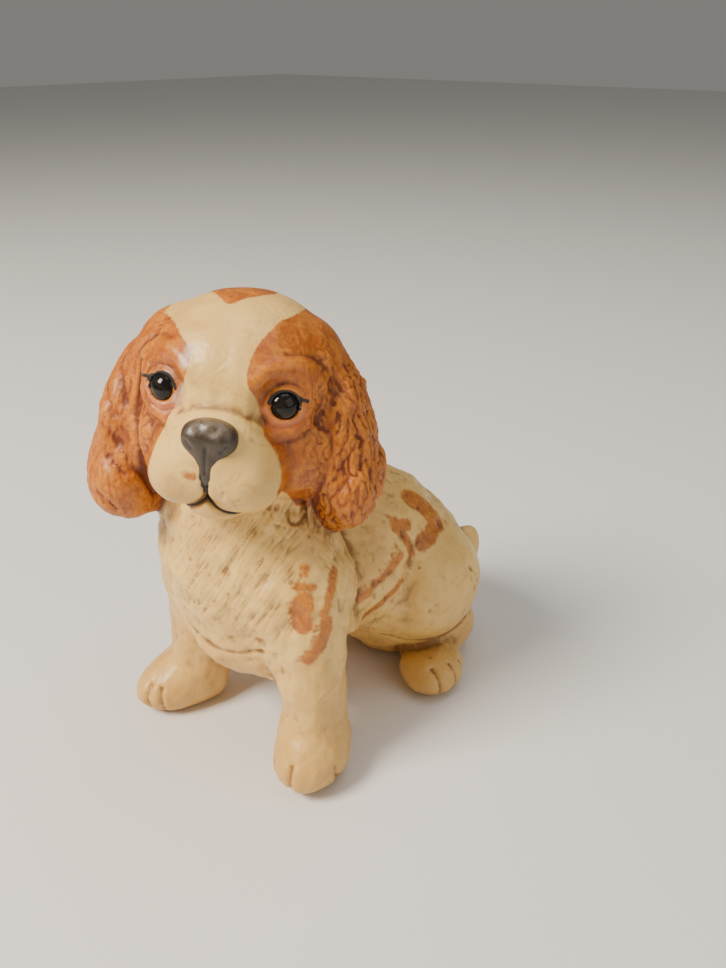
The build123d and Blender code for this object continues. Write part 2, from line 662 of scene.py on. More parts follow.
# ------------------------------------------------------------------------------ shader groups
class Nodes:
    """Short ways to place and join nodes in one node tree."""

    def __init__(self, tree: bpy.types.NodeTree) -> None:
        """Work in that tree."""
        self.tree = tree

    def add(self, kind: str, **inputs: object) -> bpy.types.Node:
        """Place a node and set its inputs by name, with blanks as underscores."""
        return self.filled(self.tree.nodes.new(kind), **inputs)

    def filled(self, node: bpy.types.Node, **inputs: object) -> bpy.types.Node:
        """Set a node's inputs by name, with blanks as underscores.

        Args:
            node: the node.
            inputs: values or outputs by input name.

        Returns:
            The same node.
        """
        for name, value in inputs.items():
            self.put(node.inputs[name.replace("_", " ")], value)
        return node

    def put(self, socket: bpy.types.NodeSocket, value: object) -> None:
        """Set a socket to a value, or link an output to it.

        Args:
            socket: the input to set.
            value: a value or an output.
        """
        if isinstance(value, bpy.types.NodeSocket):
            self.tree.links.new(value, socket)
        else:
            socket.default_value = value

    def math(self, operation: str, first: object, second: object = 0.0,
             clamp: bool = False) -> bpy.types.NodeSocket:
        """Work out a sum, a product or the like.

        Args:
            operation: what is done.
            first: a value or an output.
            second: a value or an output.
            clamp: True to hold the result between 0 and 1.

        Returns:
            The result.
        """
        node = self.tree.nodes.new("ShaderNodeMath")
        node.operation = operation
        node.use_clamp = clamp
        self.put(node.inputs[0], first)
        self.put(node.inputs[1], second)
        return node.outputs[0]

    def ramp(self, value: object, low: float, high: float, to_low: float = 0.0,
             to_high: float = 1.0) -> bpy.types.NodeSocket:
        """Take a value from one range to another by a smooth step.

        Args:
            value: the value.
            low: where the step starts.
            high: where it ends.
            to_low: the result at its start.
            to_high: the result at its end.

        Returns:
            The result.
        """
        node = self.tree.nodes.new("ShaderNodeMapRange")
        node.interpolation_type = "SMOOTHSTEP"
        self.filled(node, Value=value, From_Min=low, From_Max=high, To_Min=to_low, To_Max=to_high)
        return node.outputs["Result"]

    def mix(self, share: object, first: object, second: object) -> bpy.types.NodeSocket:
        """A mix of two colours, with that share of the second.

        Args:
            share: a value or an output from 0 to 1.
            first: a colour or an output.
            second: a colour or an output.

        Returns:
            The mixed colour.
        """
        node = self.tree.nodes.new("ShaderNodeMix")
        node.data_type = "RGBA"
        self.put(node.inputs["Factor"], share)
        self.put(node.inputs[6], first)
        self.put(node.inputs[7], second)
        return node.outputs[2]

    def noise(self, where: object, size: float, detail: float = 3.0, rough: float = 0.55,
              warp: float = 0.0) -> bpy.types.NodeSocket:
        """Noise whose lumps are about size metres across.

        Args:
            where: the coordinates.
            size: the lumps' size in those coordinates.
            detail: how many finer sizes are added.
            rough: how strong the finer sizes are.
            warp: how far the pattern is distorted.

        Returns:
            The noise, about 0 to 1.
        """
        node = self.add("ShaderNodeTexNoise", Vector=where, Scale=1.0 / size, Detail=detail,
                        Roughness=rough, Distortion=warp)
        return node.outputs["Fac"]

    def attribute(self, name: str) -> bpy.types.NodeSocket:
        """A value stored on the mesh."""
        node = self.tree.nodes.new("ShaderNodeAttribute")
        node.attribute_name = name
        return node.outputs["Fac"]

    def place(self) -> bpy.types.NodeSocket:
        """Object coordinates, in metres."""
        return self.tree.nodes.new("ShaderNodeTexCoord").outputs["Object"]

    def bump(self, strength: float, distance: float, height: object,
             **under: object) -> bpy.types.NodeSocket:
        """Small relief, on top of another relief where Normal is given.

        Args:
            strength: how strong it shows, from 0 to 1.
            distance: its height in metres.
            height: its shape.
            under: Normal, the relief that it lies on.

        Returns:
            The normal.
        """
        node = self.add("ShaderNodeBump", Strength=strength, Distance=distance, Height=height,
                        **under)
        return node.outputs[0]

    def group(self, tree: bpy.types.NodeTree, **inputs: object) -> bpy.types.Node:
        """Place a node group with its own values.

        Args:
            tree: the group.
            inputs: values or outputs by input name.

        Returns:
            The group's node.
        """
        node = self.tree.nodes.new("ShaderNodeGroup")
        node.node_tree = tree
        return self.filled(node, **inputs)


def group_tree(name: str, inputs: dict[str, str],
               outputs: dict[str, str]) -> tuple[Nodes, dict, bpy.types.Node]:
    """Start a shader node group.

    Args:
        name: the group's name.
        inputs: socket kinds by input name.
        outputs: socket kinds by output name.

    Returns:
        The group's nodes, its input sockets by name, and its output node.
    """
    tree = bpy.data.node_groups.new(name, "ShaderNodeTree")
    for way, sockets in (("INPUT", inputs), ("OUTPUT", outputs)):
        for label, kind in sockets.items():
            tree.interface.new_socket(label, in_out=way, socket_type=f"NodeSocket{kind}")
    source = tree.nodes.new("NodeGroupInput")
    sink = tree.nodes.new("NodeGroupOutput")
    return Nodes(tree), {label: source.outputs[label] for label in inputs}, sink


def mottle_group() -> bpy.types.NodeTree:
    """Uneven glaze: Tone drifts over centimetres, Cloud over millimetres, and Fine over less.

    Returns:
        The group.
    """
    nodes, given, sink = group_tree("glaze_mottle", {"Where": "Vector", "Size": "Float"},
                                    {"Tone": "Float", "Cloud": "Float", "Fine": "Float"})
    scaled = nodes.tree.nodes.new("ShaderNodeVectorMath")
    scaled.operation = "SCALE"
    nodes.put(scaled.inputs[0], given["Where"])
    nodes.put(scaled.inputs["Scale"], nodes.math("DIVIDE", 1.0, given["Size"]))
    where = scaled.outputs[0]
    nodes.put(sink.inputs["Tone"], nodes.noise(where, 1.0, 2.0, 0.5, 0.4))
    nodes.put(sink.inputs["Cloud"], nodes.noise(where, 0.22, 4.0, 0.6, 0.8))
    nodes.put(sink.inputs["Fine"], nodes.noise(where, 0.05, 3.0, 0.6))
    return nodes.tree


def edge_group() -> bpy.types.NodeTree:
    """A painted patch's Mask from its depth in millimetres, with an uneven, feathered edge.

    Returns:
        The group.
    """
    nodes, given, sink = group_tree(
        "paint_edge", {"Where": "Vector", "Depth": "Float", "Feather": "Float", "Soft": "Float"},
        {"Mask": "Float"})
    wobble = nodes.math("SUBTRACT", nodes.noise(given["Where"], 0.0022, 4.0, 0.65), 0.5)
    depth = nodes.math("ADD", given["Depth"], nodes.math("MULTIPLY", wobble, given["Feather"]))
    low = nodes.math("MULTIPLY", given["Soft"], -1.0)
    nodes.put(sink.inputs["Mask"], nodes.ramp(depth, low, given["Soft"]))
    return nodes.tree


def speck_group() -> bpy.types.NodeTree:
    """Sparse specks: Mask is 1 on small dots that lie about Gap metres apart.

    Returns:
        The group.
    """
    nodes, given, sink = group_tree("specks", {"Where": "Vector", "Gap": "Float", "Share": "Float"},
                                    {"Mask": "Float"})
    cells = nodes.add("ShaderNodeTexVoronoi", Vector=given["Where"])
    nodes.put(cells.inputs["Scale"], nodes.math("DIVIDE", 1.0, given["Gap"]))
    tint = nodes.tree.nodes.new("ShaderNodeSeparateColor")
    nodes.put(tint.inputs[0], cells.outputs["Color"])
    size = nodes.ramp(tint.outputs[0], nodes.math("SUBTRACT", 1.0, given["Share"]), 1.0, 0.0, 0.22)
    dot = nodes.math("LESS_THAN", cells.outputs["Distance"], size)
    nodes.put(sink.inputs["Mask"], dot)
    return nodes.tree


class Effects:
    """The shader groups that the glazes share, each built once."""

    def __init__(self) -> None:
        """Build the groups."""
        self.mottle = mottle_group()
        self.edge = edge_group()
        self.specks = speck_group()


# ------------------------------------------------------------------------------ finishes
Colour = tuple[float, float, float, float]


def new_finish(name: str) -> tuple[bpy.types.Material, Nodes, bpy.types.Node]:
    """A new material, its nodes and its shader.

    Args:
        name: the material's name.

    Returns:
        The material, its nodes and its shader.
    """
    made = bpy.data.materials.new(name)
    made.use_nodes = True
    return made, Nodes(made.node_tree), made.node_tree.nodes["Principled BSDF"]


@dataclass(frozen=True)
class WashAndShade:
    """Brown antique wash that gathers in grooves and folds, and painted shade in sheltered
    recesses.

    groove and fold are the wash's strength there; recess is where sheltered skin starts and ends to
    count and how much painted shade it adds; cloud is the thinnest and thickest of both in uneven
    glaze, after the cloud value where they are thickest.
    """

    groove: float
    fold: float
    recess: Triple
    cloud: Triple

    def depth(self, nodes: Nodes, cloud: bpy.types.NodeSocket) -> bpy.types.NodeSocket:
        """How thick the wash and the painted shade lie.

        Args:
            nodes: the material's nodes.
            cloud: the glaze's unevenness over millimetres.

        Returns:
            The share of the wash and the painted shade in the colour, which may pass 1.
        """
        low, high, most = self.recess
        thick_at, thinnest, thickest = self.cloud
        depth = nodes.math("ADD", nodes.math("MULTIPLY", nodes.attribute("groove"), self.groove),
                           nodes.math("MULTIPLY", nodes.attribute("fold"), self.fold))
        # Painted shade: sheltered skin darkens with the same brown.
        sheltered = nodes.ramp(nodes.attribute("recess"), low, high, 0.0, most)
        depth = nodes.math("ADD", depth, sheltered)
        return nodes.math("MULTIPLY", depth, nodes.ramp(cloud, 0.3, thick_at, thinnest, thickest))


@dataclass(frozen=True)
class PaintedGlaze:
    """Satin cream glaze over tan and black paint, with a brown antique wash in the grooves and
    painted shade in the recesses and towards the floor.
    """

    name: str
    cream: Colour = (0.86, 0.56, 0.165, 1.0)
    cream_deep: Colour = (0.56, 0.29, 0.065, 1.0)
    # Brown of the antique wash and of the painted shade in recesses; also the specks.
    wash_and_shade_brown: Colour = (0.19, 0.066, 0.013, 1.0)
    tan: Colour = (0.42, 0.098, 0.002, 1.0)
    tan_light: Colour = (0.66, 0.22, 0.008, 1.0)
    # Dark tan of the wash and of the painted shade on tan; also its fine mottle.
    tan_wash_and_shade: Colour = (0.13, 0.018, 0.002, 1.0)
    flesh: Colour = (0.72, 0.22, 0.09, 1.0)
    scuffed: Colour = (0.62, 0.47, 0.36, 1.0)
    ink: Colour = (0.010, 0.008, 0.008, 1.0)
    on_cream: WashAndShade = WashAndShade(0.55, 0.22, (0.25, 1.0, 0.33), (0.62, 0.35, 1.3))
    on_tan: WashAndShade = WashAndShade(0.8, 0.45, (0.35, 1.1, 0.38), (0.6, 0.6, 1.2))
    roughness: float = 0.42
    coat: float = 0.15

    def material(self, effects: Effects) -> bpy.types.Material:
        """Build the glaze's material.

        Args:
            effects: the shader groups that the finishes share.

        Returns:
            The material.
        """
        made, nodes, shader = new_finish(self.name)
        where = nodes.place()
        mottle = nodes.group(effects.mottle, Where=where, Size=0.02)
        tone, cloud, fine = (mottle.outputs[label] for label in ("Tone", "Cloud", "Fine"))

        body = nodes.mix(nodes.ramp(tone, 0.35, 0.7, 0.0, 0.5), self.cream, self.cream_deep)
        body = nodes.mix(nodes.ramp(cloud, 0.48, 0.72, 0.0, 0.4), body, self.cream_deep)
        # Painted shade: the cream darkens towards the floor, where less light falls.
        height = nodes.add("ShaderNodeSeparateXYZ", Vector=where).outputs["Z"]
        body = nodes.mix(nodes.ramp(height, 0.045, 0.002, 0.0, 0.55), body, self.cream_deep)
        # The brown antique wash in grooves and folds, with painted shade in sheltered recesses.
        wash_and_shade_share = self.on_cream.depth(nodes, cloud)
        body = nodes.mix(nodes.math("MINIMUM", wash_and_shade_share, 0.8), body, self.wash_and_shade_brown)

        tan = nodes.mix(nodes.ramp(cloud, 0.35, 0.7, 0.0, 0.8), self.tan, self.tan_light)
        tan = nodes.mix(nodes.ramp(nodes.attribute("crest"), 0.2, 1.0, 0.0, 0.5), tan,
                        self.tan_light)
        tan = nodes.mix(nodes.ramp(fine, 0.45, 0.65, 0.0, 0.3), tan, self.tan_wash_and_shade)
        # The same wash and painted shade on the tan.
        deep = self.on_tan.depth(nodes, cloud)
        tan = nodes.mix(nodes.math("MINIMUM", deep, 0.9), tan, self.tan_wash_and_shade)

        coats = [("tan", 1.0, 0.22, 1.0, tan), ("brush", 2.6, 0.55, 0.9, tan),
                 ("flesh", 1.0, 0.7, 0.55, self.flesh), ("scuff", 3.5, 0.9, 0.8, self.scuffed),
                 ("ink", 0.5, 0.2, 1.0, self.ink)]
        for paint, feather, soft, strength, colour in coats:
            edge = nodes.group(effects.edge, Where=where, Depth=nodes.attribute(paint),
                               Feather=feather, Soft=soft)
            body = nodes.mix(nodes.math("MULTIPLY", edge.outputs["Mask"], strength), body, colour)
        dots = nodes.group(effects.specks, Where=where, Gap=0.004, Share=0.10)
        body = nodes.mix(nodes.math("MULTIPLY", dots.outputs["Mask"], 0.55), body, self.wash_and_shade_brown)

        rough = nodes.ramp(cloud, 0.3, 0.7, self.roughness - 0.07, self.roughness + 0.10)
        rough = nodes.math("ADD", rough, nodes.math("MULTIPLY", wash_and_shade_share, 0.25))
        ripple = nodes.bump(0.35, 0.0002, fine)
        nodes.filled(shader, Base_Color=body, Roughness=rough, Coat_Weight=self.coat,
                     Coat_Roughness=0.22, IOR=1.5,
                     Normal=nodes.bump(0.45, 0.0007, cloud, Normal=ripple))
        return made


@dataclass(frozen=True)
class GlossBead:
    """Thick black glaze on an eye, with a faint brown warmth deep in it."""

    name: str = "eye_bead_glaze"
    black: Colour = (0.006, 0.006, 0.007, 1.0)
    brown: Colour = (0.022, 0.013, 0.007, 1.0)

    def material(self, effects: Effects) -> bpy.types.Material:
        """Build the bead's material.

        Args:
            effects: the shader groups that the finishes share.

        Returns:
            The material.
        """
        made, nodes, shader = new_finish(self.name)
        mottle = nodes.group(effects.mottle, Where=nodes.place(), Size=0.006)
        cloud = mottle.outputs["Cloud"]
        tint = nodes.mix(nodes.ramp(cloud, 0.4, 0.7), self.black, self.brown)
        nodes.filled(shader, Base_Color=tint,
                     Roughness=nodes.ramp(cloud, 0.3, 0.8, 0.06, 0.16), Coat_Weight=0.08,
                     Coat_Roughness=0.05, Specular_IOR_Level=0.28,
                     Normal=nodes.bump(0.12, 0.0003, cloud))
        return made


@dataclass(frozen=True)
class NoseGlaze:
    """Brown black glaze, paler towards the top and the front of the pad."""

    name: str = "nose_glaze"
    dark: Colour = (0.024, 0.015, 0.009, 1.0)
    paler_top: Colour = (0.17, 0.12, 0.072, 1.0)

    def material(self, effects: Effects) -> bpy.types.Material:
        """Build the nose's material.

        Args:
            effects: the shader groups that the finishes share.

        Returns:
            The material.
        """
        made, nodes, shader = new_finish(self.name)
        mottle = nodes.group(effects.mottle, Where=nodes.place(), Size=0.008)
        cloud = mottle.outputs["Cloud"]
        # The pad is paler towards its top and front, and not in its dips.
        paler_share = nodes.math("MULTIPLY", nodes.attribute("paler_top"),
                          nodes.ramp(cloud, 0.3, 0.65, 0.45, 1.0))
        nodes.filled(shader, Base_Color=nodes.mix(paler_share, self.dark, self.paler_top),
                     Roughness=nodes.ramp(cloud, 0.3, 0.7, 0.30, 0.48), Coat_Weight=0.3,
                     Coat_Roughness=0.25, Normal=nodes.bump(0.35, 0.0003, mottle.outputs["Fine"]))
        return made


@dataclass(frozen=True)
class StudioFloor:
    """Plain pale paper."""

    name: str = "pale_paper"
    tint: Colour = (0.78, 0.77, 0.75, 1.0)

    def material(self) -> bpy.types.Material:
        """Build the paper's material."""
        made, nodes, shader = new_finish(self.name)
        nodes.filled(shader, Base_Color=self.tint, Roughness=0.9)
        return made


# ------------------------------------------------------------------------------ the dog's parts
HEAD_PLACE = (Matrix.Translation((-0.2, -22.5, 96.5)) @ turned(0, 0, 34.0) @ turned(-8.0, 0, 0)
              @ turned(0, 6.0, 0))
FACE = Side(HEAD_PLACE, (1, 0, 0), (0, 0, 1))
LEFT_OF_HEAD = Side(HEAD_PLACE, (0, 1, 0), (0, 0, 1))
RIGHT_OF_HEAD = Side(HEAD_PLACE, (0, -1, 0), (0, 0, 1))
CROWN = Side(HEAD_PLACE, (1, 0, 0), (0, 1, 0))
QUARTER = Side(STANDING, (0.766, 0.643, 0), (0, 0, 1))
BREAST = Side(STANDING, (0.94, 0.342, 0), (0, 0, 1))
LEFT_FLANK = Side(STANDING, (0, 1, 0), (0, 0, 1))
RIGHT_FLANK = Side(STANDING, (0, -1, 0), (0, 0, 1))
RUMP_SIDE = Side(STANDING, (-1, 0, 0), (0, 0, 1))


@dataclass(frozen=True)
class Cut:
    """A luting plane: a point on it and the direction that leaves the piece."""

    point: Triple
    outward: Triple
    place: Matrix = field(default_factory=Matrix)

    def plane(self) -> tuple[Vector, Vector]:
        """The plane's point and outward direction in the dog's frame."""
        direction = (self.place.to_3x3() @ Vector(self.outward)).normalized()
        return self.place @ Vector(self.point), direction


@dataclass
class Piece:
    """A cast piece of the skin: where it is cut, and what it is called and dressed with."""

    name: str
    node: str
    slot: Slot
    cuts: list[Cut]

    def holds(self, points: np.ndarray, margin: float = 0.0) -> np.ndarray:
        """Which points lie inside all the piece's cuts, let out by a margin.

        Args:
            points: places in the dog's frame, one row each.
            margin: how far outside a cut still counts, in millimetres.

        Returns:
            True or False for each point.
        """
        inside = np.ones(len(points), bool)
        for cut in self.cuts:
            point, outward = cut.plane()
            inside &= (points - np.array(point)) @ np.array(outward) < margin
        return inside


@dataclass
class Head:
    """The head: its clay, its face and its painted patches."""

    eyes: dict[int, Triple] = field(default_factory=lambda: {1: (12.4, -14.8, 4.6),
                                                             -1: (-13.3, -14.6, 4.8)})
    eye_radius: float = 3.8
    look: Triple = (0.34, -0.93, 0.14)
    disc: float = 3.0
    levelled: float = 9.0
    socket: float = 2.4
    seat_shift: dict[int, float] = field(default_factory=lambda: {1: 0.8, -1: 0.3})

    def form(self) -> Form:
        """The head's clay, without its ears."""
        lip = Mass((6.8, -20.0, -11.4), (8.0, 9.0, 7.6))
        cheek = Mass((13.0, -4.0, -8.0), (11.0, 13.0, 12.0))
        masses = [
            Mass((0.0, 2.0, 5.5), (23.0, 23.0, 20.3)),
            Mass((0.0, -10.0, 7.0), (17.0, 10.0, 11.0)),
            cheek, cheek.mirrored(),
            Mass((0.0, -15.0, -3.0), (9.5, 13.0, 8.5)),
            Mass((0.0, -17.0, -6.5), (11.5, 13.0, 9.6)),
            lip, lip.mirrored(),
        ]
        return Form("head", masses, 5.0, HEAD_PLACE)

    def chin(self) -> Form:
        """The lower lip and chin, which show as a small crescent under the mouth."""
        return Form("chin", [Mass((0.3, -18.5, -17.4), (7.6, 8.0, 4.6))], 1.0, HEAD_PLACE)

    def eye_place(self, side: int) -> tuple[Vector, Vector]:
        """The centre of an eye bead and the way it looks, in the dog's frame.

        Args:
            side: 1 for the dog's left eye and -1 for its right one.

        Returns:
            The centre, and a direction of length 1.
        """
        centre = HEAD_PLACE @ Vector(self.eyes[side])
        x, y, z = self.look
        return centre, (HEAD_PLACE.to_3x3() @ Vector((side * x, y, z))).normalized()

    def seat_eye(self, skin: Skin, side: int) -> None:
        """Level the skin round an eye bead, and sink it behind the bead.

        Args:
            skin: the skin.
            side: 1 for the dog's left eye and -1 for its right one.
        """
        centre, look = (np.array(item) for item in self.eye_place(side))
        rise = math.sqrt(self.eye_radius ** 2 - self.disc ** 2)
        offset = skin.points - centre
        along = offset @ look
        radial = np.linalg.norm(offset - along[:, None] * look, axis=1)
        near = (radial < self.levelled) & (along > -8.0)
        level = np.clip((self.levelled - radial) / (0.5 * self.levelled), 0.0, 1.0)
        level = level * level * (3.0 - 2.0 * level)
        bowl = np.clip((self.disc + 0.2 - radial) / 0.55, 0.0, 1.0)
        shift = (rise - along) * level - self.socket * bowl
        moved = skin.points + look * (shift * near)[:, None]
        set_coordinates(skin.mesh, moved)
        skin.refresh()

    def ring(self, side: int, radius: float, start: float, end: float,
             squeeze: float = 1.0) -> list[Pair]:
        """An arc round an eye on the face.

        Args:
            side: 1 for the dog's left eye and -1 for its right one.
            radius: the arc's radius.
            start: its first angle in degrees, from the outer corner over the top.
            end: its last angle in degrees.
            squeeze: below 1 the arc is flattened up and down.

        Returns:
            The arc's marks.
        """
        x, _, z = self.eyes[side]
        return [(side * across, high)
                for across, high in arc((side * x + self.seat_shift[side], z + 0.35),
                                        radius, start, end, squeeze)]

    def lids(self, skin: Skin, side: int) -> None:
        """The lids, the folds under the eye and the brow over it.

        Args:
            skin: the skin.
            side: 1 for the dog's left eye and -1 for its right one.
        """
        rings = [
            (3.5, 0, 175, 1.0, 0.8, 0.55), (3.6, -168, -10, 1.0, 0.55, 0.35),
            (4.9, 30, 110, 1.0, 0.6, -0.2), (5.0, -150, -30, 0.95, 0.6, -0.2),
            (6.2, -140, -35, 1.0, 1.0, 0.3), (7.6, -130, -45, 1.05, 0.7, -0.2),
            (7.4, 35, 140, 1.15, 2.2, 0.9), (9.6, 0, 95, 1.1, 0.8, -0.28),
        ]
        for radius, start, end, squeeze, width, height in rings:
            skin.stroke(FACE, self.ring(side, radius, start, end, squeeze), width, height)

    def mouth_lines(self) -> list[list[Pair]]:
        """The split under the nose and the two arms of the mouth, on the face."""
        return [
            [(0.1, -7.0), (0.0, -10.5), (-0.2, -15.0)],
            [(-0.2, -15.0), (-2.2, -16.9), (-4.6, -18.6), (-5.6, -19.2)],
            [(-0.2, -15.0), (2.0, -17.2), (5.0, -19.0), (8.0, -19.2)],
        ]

    def sculpt(self, skin: Skin) -> None:
        """Press the face into the skin.

        Args:
            skin: the skin.
        """
        for side in self.eyes:
            self.seat_eye(skin, side)
        for side in self.eyes:
            self.lids(skin, side)
        creases = [
            *((marks, 0.7, -1.0) for marks in self.mouth_lines()),
            ([(-9.0, 1.5), (-5.0, 3.9), (0.0, 4.6), (5.0, 3.9), (9.0, 1.5)], 1.4, -0.75),
            ([(0.0, 20.0), (0.0, 13.0), (0.0, 6.5)], 2.8, -0.4),
            ([(7.4, -13.6), (6.2, -14.4), (6.6, -15.5)], 0.5, -0.25),
            ([(4.0, -12.2), (3.6, -13.6)], 0.5, -0.2),
            ([(22.0, 9.0), (21.4, 4.0), (21.2, -2.0), (21.8, -9.0), (22.0, -20.0)], 1.6, -0.3),
            ([(-20.8, 8.0), (-21.2, 2.0), (-21.4, -5.0), (-20.0, -14.0), (-18.0, -24.0)],
             1.3, -1.3),
        ]
        for marks, width, height in creases:
            skin.stroke(FACE, marks, width, height)
        on_head = skin.share("head")
        skin.grain(on_head, (7.0, 7.0, 7.0), 0.30, HEAD_PLACE)
        skin.grain(on_head, (1.6, 1.6, 1.6), 0.05, HEAD_PLACE, seed=9.0)
        face = FACE.flat(skin.points)
        cheeks = on_head * np.clip((np.abs(face[:, 0] - 1.0) - 14.5) / 4.0, 0, 1)
        skin.grain(cheeks, (1.5, 1.5, 2.4), 0.22, HEAD_PLACE, ridged=True, seed=2.0)
        skin.grain(cheeks, (4.0, 4.0, 5.0), 0.5, HEAD_PLACE, seed=6.0)
        skin.commit()

    def paint(self, skin: Skin) -> None:
        """The patches over the eyes and on the crown, the lashes and the mouth.

        Args:
            skin: the skin.
        """
        left = [(9.6, 21.6), (6.5, 17.6), (5.4, 13.3), (5.7, 9.6), (7.5, 6.4), (8.5, 2.7),
                (10.4, -1.3), (13.2, -5.1), (14.6, -9.8), (14.5, -16.0), (20.0, -24.0),
                (40.0, -24.0), (40.0, 27.0), (18.0, 24.0), (13.6, 23.0)]
        right = [(-9.2, 15.6), (-7.4, 13.4), (-7.8, 9.4), (-9.4, 4.8), (-11.9, -2.2),
                 (-13.4, -9.3), (-14.0, -18.0), (-20.0, -26.0), (-45.0, -26.0), (-45.0, 21.0),
                 (-23.0, 19.5), (-17.5, 18.6), (-12.8, 17.8)]
        crown = [(-9.6, 1.5), (-6.0, -4.5), (-2.2, -8.6), (1.0, -5.0), (3.6, -1.6), (5.5, 4.0),
                 (4.0, 15.0), (-5.0, 17.0), (-10.0, 9.0)]
        for view, outline in ((FACE, left), (FACE, right), (CROWN, crown)):
            skin.patch("tan", view, outline, on="head")
        for marks in self.mouth_lines():
            skin.brushed("ink", skin.path(FACE, marks, 0.15), 0.36)
        for high, width in ((-7.0, 1.5), (-9.0, 1.15), (-11.0, 0.8), (-13.0, 0.55)):
            wedge = skin.path(FACE, [(0.0, high), (-0.1, high - 2.0)], 0.15)
            skin.brushed("ink", wedge, width)
        for side, (x, _, z) in self.eyes.items():
            corner = side * x
            reach = 5.4 if side > 0 else 6.2
            lash = [(side * (corner + 3.0), z + 1.7), (side * (corner + 4.2), z + 1.9),
                    (side * (corner + reach), z + 1.6)]
            wedge = [(side * (corner + 2.5), z + 2.3), (side * (corner + 3.8), z + 1.8)]
            skin.brushed("ink", skin.path(FACE, wedge, 0.15), 0.85)
            skin.brushed("ink", skin.path(FACE, self.ring(side, 3.1, -5, 168), 0.15), 0.58)
            skin.brushed("ink", skin.path(FACE, lash, 0.15), 0.42)
            skin.brushed("flesh", skin.path(FACE, self.ring(side, 4.0, -165, -15), 0.3), 0.8)
        skin.brushed("scuff", skin.path(FACE, [(-7.8, 14.6), (-8.6, 12.0)]), 1.0)
        skin.brushed("scuff", skin.path(FACE, [(-9.0, 6.5), (-10.5, 3.0)]), 0.5)
        skin.brushed("brush", skin.path(FACE, [(-3.9, -9.0), (-2.6, -9.3)]), 0.8)


@dataclass
class Ear:
    """One hanging ear; side is 1 on the dog's left and -1 on its right."""

    side: int
    masses: list[Mass]
    furrows: list[tuple[Pair, Pair]] = field(default_factory=list)

    def form(self) -> Form:
        """The ear's clay."""
        name = "left_ear" if self.side > 0 else "right_ear"
        return Form(name, self.masses, 5.0, HEAD_PLACE)

    def view(self) -> Side:
        """The side that the ear is seen square on from."""
        return LEFT_OF_HEAD if self.side > 0 else RIGHT_OF_HEAD

    def at(self, back: float, high: float) -> Pair:
        """A mark on the ear, by how far back and how high it is on the head."""
        return (self.side * back, high)

    def sculpt(self, skin: Skin, random: np.random.Generator) -> None:
        """Comb the fur: long waves from the root to the lobe, then crinkled locks between them.

        Args:
            skin: the skin.
            random: the source of the fur's unevenness.
        """
        view = self.view()
        name = self.form().name
        share = skin.share(name)
        rough = 1.0 if self.side > 0 else 0.3
        for lock in range(7):
            back = -9.0 + 3.4 * lock
            sway = random.uniform(-1.8, 1.8, 4)
            marks = [self.at(back * 0.55 + sway[0], 12.0), self.at(back * 0.8 + sway[1], 2.0),
                     self.at(back + sway[2], -9.0), self.at(back * 1.05 + sway[3], -22.0)]
            skin.stroke(view, marks, random.uniform(0.7, 1.3), -0.3 * rough)
        for _ in range(40):
            back, high = random.uniform(-12, 13), random.uniform(-27, 10)
            length, drift = random.uniform(2.0, 5.0), random.uniform(-2.0, 2.0)
            marks = [self.at(back, high), self.at(back + drift, high - length / 2),
                     self.at(back + 0.4 * drift, high - length)]
            skin.stroke(view, marks, random.uniform(0.4, 0.8), rough * random.uniform(-0.4, 0.3))
        skin.grain(share, (1.9, 1.9, 4.2), 0.38 * rough, HEAD_PLACE, ridged=True)
        striae = HEAD_PLACE @ turned(14, 0, 0)
        skin.grain(share, (1.0, 1.0, 3.6), 0.12 + 0.08 * rough, striae, ridged=True, seed=5.0)
        skin.grain(share, (6.0, 6.0, 8.0), 0.5 + 0.7 * rough, HEAD_PLACE, seed=2.0)
        for start, end in self.furrows:
            skin.stroke(FACE, [start, end], 1.2, -0.55)
        skin.grain(share, (3.0, 3.0, 4.0), 0.5 * rough, HEAD_PLACE, seed=3.0)
        skin.commit()

    def paint(self, skin: Skin) -> None:
        """The ear is tan all over, with its edge where it leaves the head.

        Args:
            skin: the skin.
        """
        own = skin.clay.form(self.form().name).field(skin.points)
        others = [form for form, _ in skin.clay.forms if not form.name.endswith("_ear")]
        rest = np.min([form.field(skin.points) for form in others], axis=0)
        depth = np.clip((rest - own) * 0.6 + 0.3, BARE, DEEPEST)
        skin.paint["tan"] = np.maximum(skin.coat("tan"), depth)


